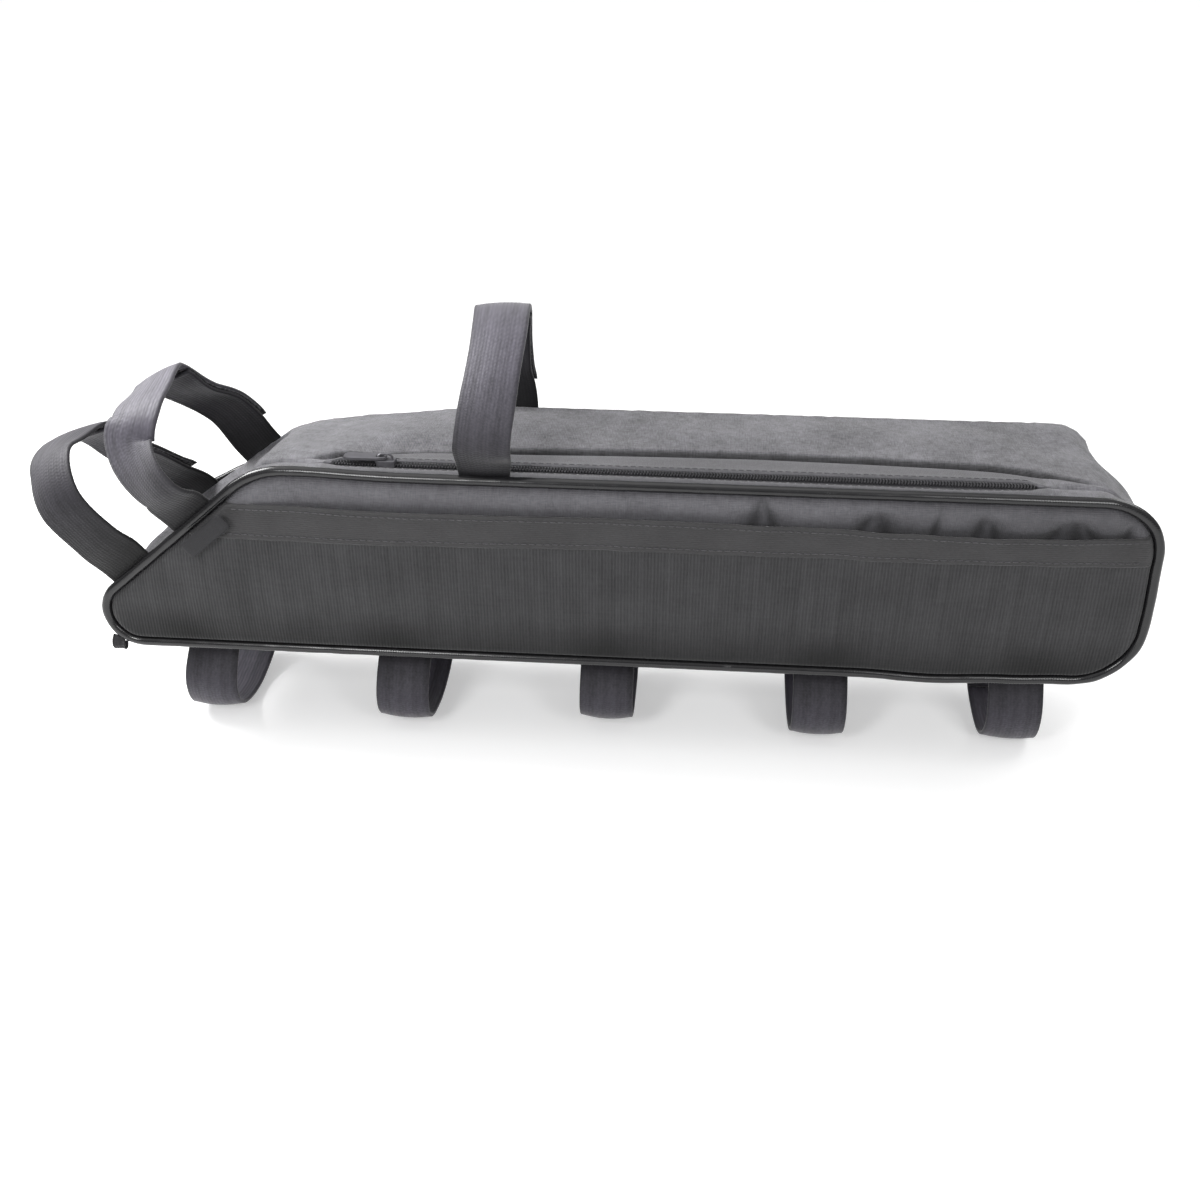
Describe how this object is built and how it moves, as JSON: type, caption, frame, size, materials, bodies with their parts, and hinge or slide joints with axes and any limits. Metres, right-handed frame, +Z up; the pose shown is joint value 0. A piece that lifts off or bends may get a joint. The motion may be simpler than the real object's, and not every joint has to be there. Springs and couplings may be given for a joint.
{
  "type": "bike frame bag",
  "caption": "Long padded frame bag with a sloped nose, a side pocket, a zipped top flap and hook-and-loop webbing loops that close round the frame's tubes.",
  "frame": {"origin": "on the flat bottom cloth, under the middle of the bag's width, between the second and third bottom straps", "axes": "+X from the sloped nose to the square tail, +Y away from the side with the pocket, +Z up"},
  "size_m": [0.4922, 0.0988, 0.1971],
  "materials": {
    "body_cloth": "satin coated weave",
    "pocket_cloth": "matte ribbed weave",
    "hem_tape": "matte",
    "piping": "satin",
    "zip_guard": "matte",
    "zip_nylon": "matte",
    "dark_metal": "satin black",
    "foam": "matte",
    "lining": "matte",
    "webbing": "matte woven",
    "hook_tape": "matte",
    "plain_tag": "satin"
  },
  "bodies": {
    "shell": {"side_panel_left": "body_cloth", "side_panel_right": "body_cloth", "side_foam_left": "foam", "side_foam_right": "foam", "piping_left": "piping", "piping_right": "piping", "pocket_panel": "pocket_cloth", "pocket_hem": "hem_tape", "seam_tag": "plain_tag", "bottom_panel": "body_cloth", "nose_panel": "body_cloth", "tail_panel": "body_cloth", "gusset_foam": "foam", "lining_tub": "lining", "front_strip": "body_cloth", "back_edge": "body_cloth", "zip_coil_front": "zip_nylon", "zip_tape_front": "zip_nylon", "zip_stop_left": "dark_metal", "zip_stop_right": "dark_metal", "top_strap": "webbing", "top_strap_tab": "webbing", "nose_strap_lower": "webbing", "nose_strap_lower_tab": "webbing", "nose_strap_upper": "webbing", "nose_strap_upper_tab": "webbing", "bottom_strap_1": "webbing", "bottom_strap_2": "webbing", "bottom_strap_3": "webbing", "bottom_strap_4": "webbing", "bottom_strap_5": "webbing"},
    "flap": {"flap_panel": "body_cloth", "flap_band": "zip_guard", "flap_foam": "foam", "flap_lining": "lining", "zip_coil_back": "zip_nylon", "zip_tape_back": "zip_nylon"},
    "slider": {"slider_body": "dark_metal"},
    "tab": {"pull_tab": "dark_metal"},
    "top_tail": {"top_strap_tail": "webbing", "top_strap_hook_patch": "hook_tape"},
    "nose_lower_tail": {"nose_strap_lower_tail": "webbing", "nose_strap_lower_hook_patch": "hook_tape"},
    "nose_upper_tail": {"nose_strap_upper_tail": "webbing", "nose_strap_upper_hook_patch": "hook_tape"},
    "bottom_tail_1": {"bottom_strap_1_tail": "webbing", "bottom_strap_1_hook_patch": "hook_tape"},
    "bottom_tail_2": {"bottom_strap_2_tail": "webbing", "bottom_strap_2_hook_patch": "hook_tape"},
    "bottom_tail_3": {"bottom_strap_3_tail": "webbing", "bottom_strap_3_hook_patch": "hook_tape"},
    "bottom_tail_4": {"bottom_strap_4_tail": "webbing", "bottom_strap_4_hook_patch": "hook_tape"},
    "bottom_tail_5": {"bottom_strap_5_tail": "webbing", "bottom_strap_5_hook_patch": "hook_tape"}
  },
  "joints": [
    {"name": "flap_lift", "type": "hinge", "parent": "shell", "child": "flap", "pos_m": [0, 0.0373, 0.086], "axis": [-1, 0, 0], "range_deg": [0, 40]},
    {"name": "zip_slide", "type": "slide", "parent": "shell", "child": "slider", "axis": [1, 0, 0], "range_m": [0, 0.268]},
    {"name": "tab_turn", "type": "hinge", "parent": "slider", "child": "tab", "pos_m": [-0.049, -0.027, 0.08835], "axis": [0, 1, 0], "range_deg": [0, 120]},
    {"name": "top_peel", "type": "hinge", "parent": "shell", "child": "top_tail", "pos_m": [-0.001, -0.0035, 0.1479], "axis": [1, 0, 0], "range_deg": [0, 110]},
    {"name": "nose_lower_peel", "type": "hinge", "parent": "shell", "child": "nose_lower_tail", "pos_m": [-0.20272, -0.011, 0.08557], "axis": [0.766, 0, 0.6428], "range_deg": [0, 110]},
    {"name": "nose_upper_peel", "type": "hinge", "parent": "shell", "child": "nose_upper_tail", "pos_m": [-0.16563, -0.003, 0.10624], "axis": [0.766, 0, 0.6428], "range_deg": [0, 110]},
    {"name": "bottom_peel_1", "type": "hinge", "parent": "shell", "child": "bottom_tail_1", "pos_m": [-0.141, -0.008, -0.0494], "axis": [-1, 0, 0], "range_deg": [0, 100]},
    {"name": "bottom_peel_2", "type": "hinge", "parent": "shell", "child": "bottom_tail_2", "pos_m": [-0.048, -0.008, -0.0494], "axis": [-1, 0, 0], "range_deg": [0, 100]},
    {"name": "bottom_peel_3", "type": "hinge", "parent": "shell", "child": "bottom_tail_3", "pos_m": [0.048, 0.004, -0.0494], "axis": [-1, 0, 0], "range_deg": [0, 100]},
    {"name": "bottom_peel_4", "type": "hinge", "parent": "shell", "child": "bottom_tail_4", "pos_m": [0.147, -0.008, -0.0494], "axis": [-1, 0, 0], "range_deg": [0, 100]},
    {"name": "bottom_peel_5", "type": "hinge", "parent": "shell", "child": "bottom_tail_5", "pos_m": [0.2365, -0.01, -0.0494], "axis": [-1, 0, 0], "range_deg": [0, 100]}
  ]
}
